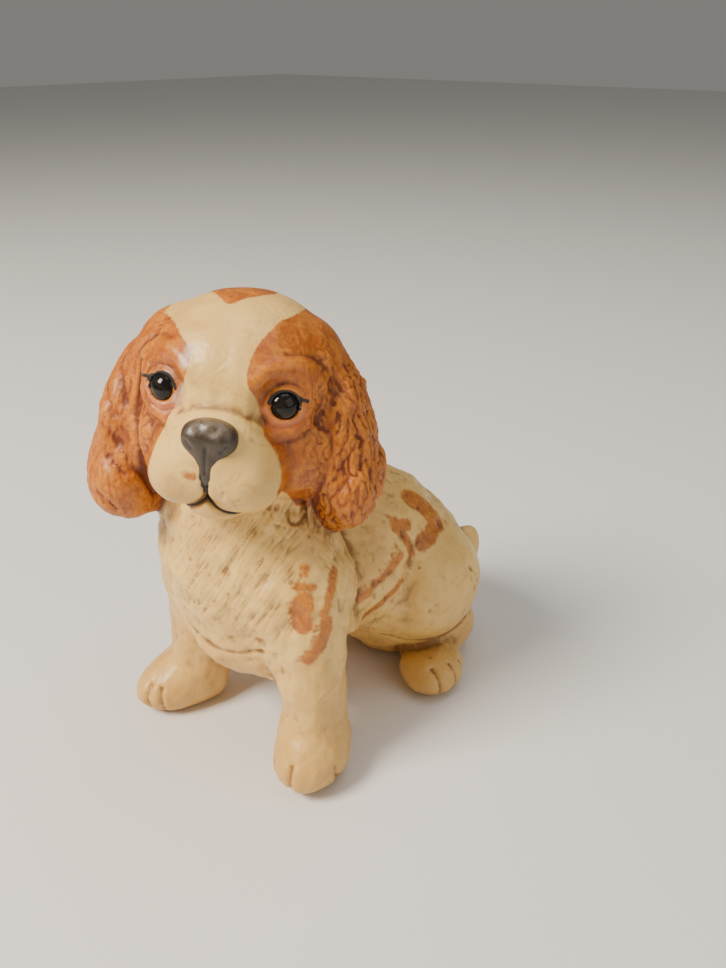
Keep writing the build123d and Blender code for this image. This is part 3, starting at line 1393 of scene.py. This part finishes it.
@dataclass
class Body:
    """The torso, from the ruff under the head to the seat."""

    vent_radius: float = 1.8
    vent_depth: float = 3.0
    seat: Triple = (6.0, 31.0, 14.5)

    def form(self) -> Form:
        """The torso's clay."""
        masses = [
            Mass((-3.0, -21.5, 51.0), (26.0, 21.0, 28.0), (8, 0, 0)),
            Mass((-2.0, -20.0, 74.0), (20.0, 17.0, 18.0)),
            Mass((17.0, -22.0, 48.0), (12.0, 13.0, 16.0), (0, 8, 0)),
            Mass((2.0, -26.0, 31.5), (15.0, 12.0, 9.5)),
            Mass((3.0, 6.0, 42.0), (21.0, 32.0, 18.0), (22, 0, 0)),
            Mass((6.0, 26.0, 29.5), (25.0, 24.5, 24.5)),
            Mass(self.seat, (20.0, 17.0, 17.0)),
        ]
        return Form("torso", masses, 9.0)

    def sculpt(self, skin: Skin, random: np.random.Generator) -> None:
        """Comb the ruff and press the folds, curls and finger marks of the coat.

        Args:
            skin: the skin.
            random: the source of the finger marks.
        """
        share = skin.share("torso")
        front = BREAST.flat(skin.points)
        combed = share * np.clip((front[:, 2] - 8.0) / 8.0, 0, 1)
        combed *= (np.clip((front[:, 1] - 40.0) / 8.0, 0, 1)
                   * np.clip((16.0 - front[:, 0]) / 8.0, 0, 1))
        combed *= np.clip((front[:, 0] + 22.0) / 6.0, 0, 1)
        right, up, towards = BREAST.axes()
        hair = Matrix((right, towards, up)).transposed().to_4x4() @ turned(0, 30.0, 0)
        skin.grain(combed, (0.75, 9.0, 9.0), 0.20, hair, ridged=True)
        skin.grain(combed, (2.4, 9.0, 16.0), 0.35, hair, seed=3.0)
        skin.grain(share, (5.5, 5.5, 5.5), 0.85, seed=1.0)
        skin.grain(share, (2.6, 2.6, 2.6), 0.20, seed=4.0)
        skin.grain(share * (1.0 - combed), (1.6, 1.6, 3.4), 0.10, ridged=True, seed=7.0)
        creases = [
            (QUARTER, [(-38.0, 42.0), (-33.0, 36.5), (-25.0, 34.5), (-17.0, 35.5), (-11.0, 37.5)],
             0.8, -0.7),
            (QUARTER, [(-38.0, 39.5), (-32.0, 33.5), (-24.0, 31.5)], 1.6, 0.5),
            *((BREAST, arc((-15.5, 52.0), whorl, -200, 90, 0.9), 0.45, -0.25)
              for whorl in (1.4, 2.8, 4.0)),
            (BREAST, arc((9.2, 73.6), 1.6, 0, 330, 1.8), 0.5, -0.45),
            (BREAST, [(9.2, 72.4), (9.2, 74.8)], 0.7, 0.6),
            (BREAST, [(12.2, 76.5), (12.4, 72.0), (11.8, 67.5)], 0.5, -0.3),
            (LEFT_FLANK, [(-6.0, 62.0), (-4.5, 54.0), (-7.0, 44.0), (-9.0, 37.0)], 2.0, -1.0),
            (LEFT_FLANK, [(-12.0, 39.0), (-10.0, 35.0), (-12.0, 31.0)], 2.0, 1.1),
            (LEFT_FLANK, [(-9.0, 33.0), (-6.5, 31.0)], 1.6, 1.1),
            (LEFT_FLANK, [(19.0, 50.0), (12.5, 43.0), (9.0, 35.0), (9.5, 26.0)], 2.7, -1.0),
            (LEFT_FLANK, [(30.0, 37.0), (32.5, 33.0), (32.0, 29.0)], 1.0, -0.45),
            (LEFT_FLANK, [(34.0, 31.0), (36.5, 27.0), (36.0, 23.0)], 1.0, -0.5),
            (LEFT_FLANK, [(8.0, 18.5), (16.0, 14.2), (26.0, 13.4), (34.0, 16.0)], 0.8, -0.6),
            (RIGHT_FLANK, [(6.0, 62.0), (4.0, 54.0), (6.5, 44.0), (8.0, 36.0)], 1.8, -0.8),
            (RIGHT_FLANK, [(-16.0, 47.0), (-9.0, 40.0), (-7.0, 30.0)], 1.8, -0.9),
        ]
        for side, marks, width, height in creases:
            skin.stroke(side, marks, width, height)
        for _ in range(90):
            side = (QUARTER, LEFT_FLANK, RIGHT_FLANK, RUMP_SIDE)[int(random.integers(4))]
            across, high = random.uniform(-24, 34), random.uniform(26, 66)
            drop, drift = random.uniform(0.8, 3.0), random.uniform(-1.2, 1.2)
            skin.stroke(side, [(across, high), (across + drift, high - drop)],
                        random.uniform(0.9, 1.6), random.uniform(-0.4, 0.3))
        skin.commit()

    def blob(self, skin: Skin, side: Side, spine: Sequence[Pair], width: float, hair: float,
             lean: float, random: np.random.Generator) -> None:
        """Brush a tan mark: a spine with hairs drawn out of it to one side.

        Args:
            skin: the skin to paint.
            side: the side that the mark is laid out on.
            spine: the mark's middle line.
            width: half the spine's width.
            hair: how far the hairs reach.
            lean: the hairs' direction in degrees.
            random: the source of their unevenness.
        """
        skin.brushed("brush", skin.path(side, spine), width)
        angle = math.radians(lean)
        for across, high in flowing(spine, 1.2):
            reach = hair * random.uniform(0.5, 1.0)
            end = (across + reach * math.cos(angle), high + reach * math.sin(angle))
            skin.brushed("brush", skin.path(side, [(across, high), end]), 0.42)

    def paint(self, skin: Skin, random: np.random.Generator) -> None:
        """The brushed tan marks on the shoulder, the flank and the back.

        Args:
            skin: the skin.
            random: the source of the hairs' unevenness.
        """
        marks = [
            (QUARTER, [(0.9, 62.0), (0.5, 60.5)], 0.7, 1.2, 180),
            (QUARTER, [(-1.2, 58.4), (2.0, 57.6)], 1.1, 2.2, 185),
            (QUARTER, [(0.2, 55.0), (-0.6, 52.2), (-0.4, 49.4)], 2.7, 4.2, 185),
            (QUARTER, [(7.0, 59.0), (6.4, 55.0), (4.8, 51.2)], 1.2, 1.2, 200),
            (QUARTER, [(5.2, 49.0), (5.0, 46.4), (3.2, 42.6), (1.0, 40.0)], 1.8, 3.2, 190),
            (LEFT_FLANK, [(-6.5, 41.0), (0.0, 43.0), (5.0, 45.2), (9.0, 47.6)], 1.5, 3.0, 95),
            (LEFT_FLANK, [(-3.0, 32.5), (3.0, 35.5), (8.0, 39.6)], 1.3, 2.0, 60),
            (LEFT_FLANK, [(12.0, 55.0), (13.2, 50.5), (14.0, 46.0)], 1.6, 2.8, 120),
            (LEFT_FLANK, [(11.5, 54.0), (15.5, 53.0)], 1.9, 1.6, 60),
            (LEFT_FLANK, [(22.5, 56.5), (26.0, 53.5), (27.5, 49.0)], 3.3, 3.4, 170),
            (LEFT_FLANK, [(26.0, 49.0), (21.5, 47.5), (18.5, 47.0)], 2.5, 2.6, 75),
            (RIGHT_FLANK, [(16.0, 58.0), (12.0, 50.0), (15.0, 43.0)], 1.9, 3.0, 10),
            (RIGHT_FLANK, [(-6.0, 46.0), (-12.0, 50.0)], 1.4, 2.4, 80),
            (RIGHT_FLANK, [(-20.0, 50.0), (-27.0, 45.0), (-30.0, 38.0)], 2.2, 3.0, 120),
            (RUMP_SIDE, [(-2.0, 52.0), (-8.0, 46.0)], 2.0, 2.8, 100),
        ]
        for side, spine, width, hair, lean in marks:
            self.blob(skin, side, spine, width, hair, lean, random)


@dataclass
class Leg:
    """One leg with its paw: its clay and the grooves between its toes."""

    name: str
    masses: list[Mass]
    flow: float
    toe_side: Side
    toes: list[list[Pair]]

    def form(self) -> Form:
        """The leg's clay."""
        return Form(self.name, self.masses, self.flow)

    def sculpt(self, skin: Skin) -> None:
        """Press the grooves between the toes, and leave the leg a little uneven.

        Args:
            skin: the skin.
        """
        share = skin.share(self.name)
        skin.grain(share, (6.0, 6.0, 6.0), 0.6, seed=6.0)
        skin.grain(share, (2.0, 2.0, 2.6), 0.16, seed=8.0)
        for marks in self.toes:
            skin.stroke(self.toe_side, marks, 0.8, -0.8)
        skin.commit()


def plane_cut(normal: Triple, offset: float, place: Matrix = STANDING) -> Cut:
    """A cut that keeps the points whose product with the normal is below the offset.

    Args:
        normal: the direction that leaves the piece.
        offset: the limit of the product, in millimetres for a normal of length 1.
        place: the frame that both belong to.

    Returns:
        The cut.
    """
    size = sum(value * value for value in normal)
    point = tuple(value * offset / size for value in normal)
    return Cut(point, normal, place)


@dataclass
class Foundry:
    """Cuts the finished skin into the cast pieces and closes each of them."""

    shift: Vector
    pieces: list[Piece]
    rest: Piece

    def cut(self, skin: Skin) -> dict[str, bpy.types.Object]:
        """Cut the skin and hand over the closed pieces.

        Args:
            skin: the finished skin, in the dog's frame and millimetres.

        Returns:
            The pieces by name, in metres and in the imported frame.
        """
        bm = bmesh.new()
        bm.from_mesh(skin.mesh)
        cell = bm.faces.layers.int.new("cell")
        for number, piece in enumerate(self.pieces, start=1):
            self.score(bm, piece, cell)
            for face, inside in zip(bm.faces, piece.holds(self.middles(bm))):
                if inside and face[cell] == 0:
                    face[cell] = number
        made = {}
        for number, piece in enumerate([self.rest, *self.pieces]):
            made[piece.name] = self.closed(bm, number, piece)
        bm.free()
        return made

    @staticmethod
    def middles(bm: bmesh.types.BMesh) -> np.ndarray:
        """The middles of all the faces."""
        return np.array([list(face.calc_center_median()) for face in bm.faces])

    def score(self, bm: bmesh.types.BMesh, piece: Piece, cell: object) -> None:
        """Cut the faces round a piece along its luting planes, and take none of them away.

        Args:
            bm: the skin.
            piece: the piece.
            cell: the layer of the faces' piece numbers; 0 is not yet given to a piece.
        """
        near = piece.holds(self.middles(bm), 2.5)
        faces = [face for face, inside in zip(bm.faces, near) if inside and face[cell] == 0]
        edges = {edge for face in faces for edge in face.edges}
        verts = {vert for face in faces for vert in face.verts}
        geometry: list = [*faces, *edges, *verts]
        for cut in piece.cuts:
            point, outward = cut.plane()
            done = bmesh.ops.bisect_plane(bm, geom=geometry, dist=1e-4, plane_co=point,
                                          plane_no=outward)
            geometry = done["geom"]

    def closed(self, bm: bmesh.types.BMesh, number: int, piece: Piece) -> bpy.types.Object:
        """Take one piece from the scored skin and close its cut faces.

        Args:
            bm: the scored skin, which is left as it is.
            number: the piece's number in the layer of piece numbers.
            piece: the piece.

        Returns:
            The piece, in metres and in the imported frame.
        """
        part = bm.copy()
        cell = part.faces.layers.int["cell"]
        others = [face for face in part.faces if face[cell] != number]
        bmesh.ops.delete(part, geom=others, context="FACES")
        for face in part.faces:
            face.smooth = True
        rim = [edge for edge in part.edges if edge.is_boundary]
        filled = bmesh.ops.holes_fill(part, edges=rim, sides=0)["faces"]
        for face in filled:
            face.smooth = False
        bmesh.ops.triangulate(part, faces=filled)
        for edge in rim:
            edge.smooth = False
        bmesh.ops.recalc_face_normals(part, faces=part.faces)
        part.faces.layers.int.remove(part.faces.layers.int["cell"])
        part.transform(to_packed_frame(self.shift))
        return new_object(piece.name, mesh_from(part, piece.name))


@dataclass
class Puppy:
    """The whole dog: its forms, its skin, and the pieces that it is cut into."""

    head: Head
    left_ear: Ear
    right_ear: Ear
    body: Body
    legs: list[Leg]
    tail: Form
    seed: int = 11

    def clay(self) -> Clay:
        """All the forms, with the fillet that each is luted on with.

        Returns:
            The clay.
        """
        forms = [(self.body.form(), 1.0)]
        forms += [(leg.form(), 3.0 if "hind" in leg.name else 7.0) for leg in self.legs]
        forms += [(self.tail, 3.5), (self.head.form(), 3.5), (self.head.chin(), 1.0)]
        forms += [(self.left_ear.form(), 6.0), (self.right_ear.form(), 6.0)]
        return Clay(forms)

    def model(self) -> Skin:
        """Settle the skin, sculpt it and paint it.

        Returns:
            The finished skin.
        """
        random = np.random.default_rng(self.seed)
        skin = Skin(self.clay(), SKIN_VOXEL)
        skin.drill(self.body.seat[:2], self.body.vent_radius, self.body.vent_depth)
        sights = [self.head.eye_place(side)[0] for side in (1, -1)]
        sights += [HEAD_PLACE @ Vector(place) for place in ((0, -28, -9), (0, -25, -17))]
        skin.refine(sights, 8.5)
        LOG.info("skin settled with %d faces", len(skin.mesh.polygons))
        self.head.sculpt(skin)
        for ear in (self.left_ear, self.right_ear):
            ear.sculpt(skin, random)
        self.body.sculpt(skin, random)
        for leg in self.legs:
            leg.sculpt(skin)
        for ear in (self.left_ear, self.right_ear):
            ear.paint(skin)
        self.head.paint(skin)
        self.body.paint(skin, random)
        skin.store()
        return skin


def the_puppy() -> Puppy:
    """The dog's sub-assemblies with their masses.

    Returns:
        The dog.
    """
    left_ear = Ear(1, [Mass((21.5, 4.0, 2.5), (5.5, 11.0, 16.0), (0, -22, 0)),
                       Mass((26.6, 2.0, -7.0), (6.0, 12.0, 16.5), (0, -8, 0)),
                       Mass((27.6, 1.0, -17.0), (8.0, 13.0, 10.6))])
    right_ear = Ear(-1, [Mass((-19.8, 3.0, 9.0), (6.0, 10.0, 9.0), (0, 30, 0)),
                         Mass((-22.5, 3.5, 2.0), (5.5, 11.0, 15.5), (0, 24, 0)),
                         Mass((-28.3, 2.0, -9.0), (6.0, 12.0, 16.5), (0, 8, 0)),
                         Mass((-26.2, -0.5, -22.2), (9.0, 13.0, 11.3))],
                    [((-31.5, 1.0), (-27.5, -5.0)), ((-28.5, 6.5), (-25.0, -1.5)),
                     ((-29.5, -8.0), (-25.8, -11.5)), ((-28.0, -15.0), (-24.0, -18.0)),
                     ((-30.0, -24.0), (-26.0, -28.0))])
    left_fore = Leg("left_foreleg", [Mass((24, -26, 26), (8, 8.5, 26)),
                                     Mass((26.5, -31, 7), (9, 11.5, 7.8), (0, 0, 25))],
                    10.0, QUARTER, [[(-4.0, 11.0), (-4.6, 6.5), (-4.0, 2.0)],
                                   [(7.0, 9.0), (7.5, 5.0), (7.5, 2.0)]])
    right_fore = Leg("right_foreleg", [Mass((-19.5, -26.5, 26), (8.5, 8.5, 26)),
                                       Mass((-23.5, -34.5, 6.5), (9, 12, 7.4), (0, 0, -8))],
                     10.0, BREAST, [[(-33.0, 10.5), (-32.5, 6.5), (-33.0, 2.5)],
                                   [(-36.5, 11.0), (-37.0, 7.5), (-36.5, 4.0)]])
    left_hind = Leg("left_hind_leg", [Mass((23.2, 26.5, 29), (12, 17.5, 16.5)),
                                      Mass((23.5, 34, 10.5), (8, 9.5, 11)),
                                      Mass((28.5, 20, 5), (9.5, 12, 6), (0, 0, 30))],
                    4.0, LEFT_FLANK, [[(13.5, 9.5), (12.5, 6.0), (13.0, 2.5)],
                                      [(19.0, 9.3), (19.0, 6.0), (18.5, 2.5)],
                                      [(24.0, 8.0), (25.0, 5.5), (24.5, 2.5)]])
    right_hind = Leg("right_hind_leg", [Mass((-11, 24, 27), (12, 19, 17.5)),
                                        Mass((-12, 34, 10.5), (8, 9.5, 11)),
                                        Mass((-17, 18.5, 5), (9.5, 12, 6), (0, 0, -20))],
                     4.0, RIGHT_FLANK, [[(-12.5, 9.0), (-11.5, 6.0), (-12.0, 2.5)],
                                        [(-17.5, 9.0), (-17.5, 6.0), (-17.0, 2.5)]])
    tail = Form("tail", [Mass((16.5, 45.2, 22.5), (4.8, 4.6, 5.5)),
                         Mass((19.2, 48.0, 27.0), (4.5, 4.5, 6.5)),
                         Mass((19.5, 48.8, 31.0), (4.0, 4.0, 5.6), (-20, 10, 0))], 3.0)
    return Puppy(Head(), left_ear, right_ear, Body(),
                 [left_fore, right_fore, left_hind, right_hind], tail)


def the_cuts() -> tuple[list[Piece], Piece]:
    """Where the skin is cut, in the order of cutting, and the piece that is left over.

    Returns:
        The pieces that are cut out, and the one that is left.
    """
    head = HEAD_PLACE
    pieces = [
        Piece("left_ear_flap", "left_ear", Slot.EAR, [
            plane_cut((-1.0, -0.2, 0.0), -18.6, head), plane_cut((0, -1, 0), 14.0, head),
            plane_cut((0, 1, 0), 17.0, head), plane_cut((0, 0, -1), 31.0, head)]),
        Piece("right_ear_flap", "right_ear", Slot.EAR, [
            plane_cut((1.0, -0.2, 0.0), -19.6, head), plane_cut((0, -1, 0), 14.0, head),
            plane_cut((0, 1, 0), 17.0, head), plane_cut((0, 0, -1), 35.0, head)]),
        Piece("head", "head_shell", Slot.HEAD, [plane_cut((0, 0, -1), -77.0)]),
        Piece("left_front_leg", "left_foreleg", Slot.BODY, [
            plane_cut((-1, 0, 1), 14.0), plane_cut((-1, 0, 0), -13.0),
            plane_cut((0, 1, 0), -12.0)]),
        Piece("right_front_leg", "right_foreleg", Slot.BODY, [
            plane_cut((0.8, 0, 1), 18.4), plane_cut((1, 0, 0), -8.0),
            plane_cut((0, 1, 0), -12.0)]),
        Piece("left_back_leg", "left_hind_leg", Slot.BODY, [
            plane_cut((-1, 0, 0.2), -14.0), plane_cut((0, -1, 0), -2.0),
            plane_cut((0, 0, 1), 44.0)]),
        Piece("right_back_leg", "right_hind_leg", Slot.BODY, [
            plane_cut((1, 0, 0.2), -4.0), plane_cut((0, -1, 0), -2.0),
            plane_cut((0, 0, 1), 44.0)]),
        Piece("tail_nub", "tail", Slot.BODY, [
            plane_cut((-0.5, -0.86, 0), -49.2), plane_cut((0.86, -0.5, 0), 0.0),
            plane_cut((-0.86, 0.5, 0), 15.0), plane_cut((0, 0, -1), -14.0),
            plane_cut((0, 0, 1), 41.0)]),
    ]
    return pieces, Piece("torso", "torso_shell", Slot.BODY, [])


@dataclass
class EyeBead:
    """A glossy ball in one eye socket."""

    node: str
    middle: Vector
    radius: float = 3.8

    def build(self) -> bpy.types.Object:
        """Turn the ball round its middle.

        Returns:
            The ball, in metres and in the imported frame.
        """
        bm = bmesh.new()
        bmesh.ops.create_uvsphere(bm, u_segments=64, v_segments=32, radius=self.radius * MM,
                                  matrix=Matrix.Translation(self.middle))
        for face in bm.faces:
            face.smooth = True
        return new_object(f"{self.node}_bead", mesh_from(bm, self.node))


@dataclass
class NosePad:
    """The nose leather: a flat-topped pad with two wings, nostrils and a stem."""

    shift: Vector
    voxel: float = 0.32

    def form(self) -> Form:
        """The pad's clay."""
        wing = Mass((3.0, -27.9, -1.6), (2.9, 3.1, 2.7))
        masses = [Mass((0.0, -27.2, 0.1), (5.6, 3.7, 2.9)), wing, wing.mirrored(),
                  Mass((0.0, -27.9, -3.8), (4.0, 2.7, 4.0)),
                  Mass((0.0, -27.7, -7.4), (2.5, 2.4, 4.2))]
        return Form("nose", masses, 1.6, HEAD_PLACE)

    def build(self) -> bpy.types.Object:
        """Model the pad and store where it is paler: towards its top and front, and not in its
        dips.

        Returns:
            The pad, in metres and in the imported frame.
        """
        skin = Skin(Clay([(self.form(), 1.0)], floor_rounding=0.01), self.voxel)
        for side in (1, -1):
            skin.stroke(FACE, [(side * 4.3, -1.8), (side * 3.4, -2.8)], 0.9, -0.5)
        skin.stroke(FACE, [(0.0, -2.6), (0.0, -5.0), (0.0, -8.0)], 0.45, -0.3)
        skin.stroke(FACE, [(-1.6, 1.6), (0.0, 0.9), (1.6, 1.6)], 1.3, -0.45)
        skin.commit()
        flat = FACE.flat(skin.points)
        # Paler towards the top and the front of the pad, and not in its dips.
        top = np.clip((flat[:, 1] - 0.2) / 2.5, 0.0, 1.0)
        top = top + 0.25 * np.clip(flat[:, 2] - 29.0, 0, 1)
        smooth = neighbour_mean(skin.mesh, skin.points, 12)
        dip = ((smooth - skin.points) * skin.normals).sum(axis=1)
        paler_top = np.clip(top - np.clip(dip / 0.1, 0.0, 1.0), 0.0, 1.0)
        write_values(skin.mesh, "paler_top", paler_top)
        skin.mesh.transform(to_packed_frame(self.shift))
        for face in skin.mesh.polygons:
            face.use_smooth = True
        return new_object("nose_leather", skin.mesh)


@dataclass
class Studio:
    """The floor, the lights and the camera."""

    place: Triple = (0.1391, -0.1471, 0.1732)
    azimuth: float = 40.0
    pitch: float = 28.0
    lens: float = 31.6

    def floor(self) -> bpy.types.Object:
        """A wide sheet of pale paper under the dog."""
        bm = bmesh.new()
        bmesh.ops.create_grid(bm, x_segments=2, y_segments=2, size=3.0)
        sheet = new_object("paper_floor", mesh_from(bm, "paper_floor"))
        sheet.data.materials.append(StudioFloor().material())
        return sheet

    def lamp(self, name: str, place: Triple, aim: Triple, size: float, power: float,
             tint: Triple = (1.0, 1.0, 1.0)) -> bpy.types.Object:
        """A soft square lamp.

        Args:
            name: the lamp's name.
            place: where it hangs, in metres.
            aim: the point that it looks at.
            size: the length of its side.
            power: its strength in watts.
            tint: its colour.

        Returns:
            The lamp.
        """
        light = bpy.data.lights.new(name, "AREA")
        light.shape = "SQUARE"
        light.size = size
        light.energy = power
        light.color = tint
        made = bpy.data.objects.new(name, light)
        bpy.context.scene.collection.objects.link(made)
        made.location = place
        made.rotation_euler = (Vector(aim) - Vector(place)).to_track_quat("-Z", "Y").to_euler()
        return made

    def lights(self) -> None:
        """A soft key high on the left, a weak fill on the right and a pale room."""
        aim = (0.0, 0.0, 0.06)
        self.lamp("key", (-0.25, -0.62, 0.75), aim, 0.36, 16.0, (1.0, 0.90, 0.76))
        self.lamp("fill", (0.75, 0.10, 0.45), aim, 0.7, 1.6, (1.0, 0.96, 0.9))
        self.lamp("top", (0.05, 0.15, 0.9), aim, 0.6, 2.2, (1.0, 0.96, 0.9))
        world = bpy.data.worlds.new("pale_room")
        world.use_nodes = True
        back = world.node_tree.nodes["Background"]
        back.inputs["Color"].default_value = (1.0, 0.96, 0.90, 1.0)
        back.inputs["Strength"].default_value = 0.22
        bpy.context.scene.world = world

    def camera(self) -> bpy.types.Object:
        """The camera, looking at the dog's left front from above.

        Returns:
            The camera.
        """
        lens = bpy.data.cameras.new("studio")
        lens.lens = self.lens
        lens.sensor_width = 36.0
        lens.clip_start, lens.clip_end = 0.005, 20.0
        made = bpy.data.objects.new("studio", lens)
        bpy.context.scene.collection.objects.link(made)
        made.location = self.place
        made.rotation_euler = (math.radians(90.0 - self.pitch), 0.0, math.radians(self.azimuth))
        bpy.context.scene.camera = made
        return made


def hand_over(obj: bpy.types.Object, node: str, material: bpy.types.Material) -> None:
    """Dress a piece, tie it to the root body and let it stand for its node.

    Args:
        obj: the piece.
        node: the node that it stands for.
        material: its finish.
    """
    obj.data.materials.clear()
    obj.data.materials.append(material)
    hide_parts(node)
    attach(obj, "root")
    LOG.info("%s: %d faces, stands for %s", obj.name, len(obj.data.polygons), node)


def main() -> None:
    """Build the dog and its studio."""
    logging.basicConfig(level=logging.INFO, format="%(name)s: %(message)s")
    effects = Effects()
    puppy = the_puppy()
    low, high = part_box("right_eye")
    shift = (low + high) / 2 / MM - puppy.head.eye_place(-1)[0]
    skin = puppy.model()
    pieces, rest = the_cuts()
    made = Foundry(shift, pieces, rest).cut(skin)
    glazes = {
        Slot.BODY: PaintedGlaze("body_cream_glaze").material(effects),
        Slot.HEAD: PaintedGlaze("head_painted_glaze").material(effects),
        Slot.EAR: PaintedGlaze("ear_tan_glaze", roughness=0.48, coat=0.08).material(effects),
    }
    for piece in (rest, *pieces):
        hand_over(made[piece.name], piece.node, glazes[piece.slot])
    bead = GlossBead().material(effects)
    for side, node in ((1, "left_eye"), (-1, "right_eye")):
        middle = (puppy.head.eye_place(side)[0] + shift) * MM
        hand_over(EyeBead(node, middle).build(), node, bead)
    hand_over(NosePad(shift).build(), "nose_pad", NoseGlaze().material(effects))

    studio = Studio()
    studio.floor()
    studio.lights()
    studio.camera()


if __name__ == "__main__":
    main()
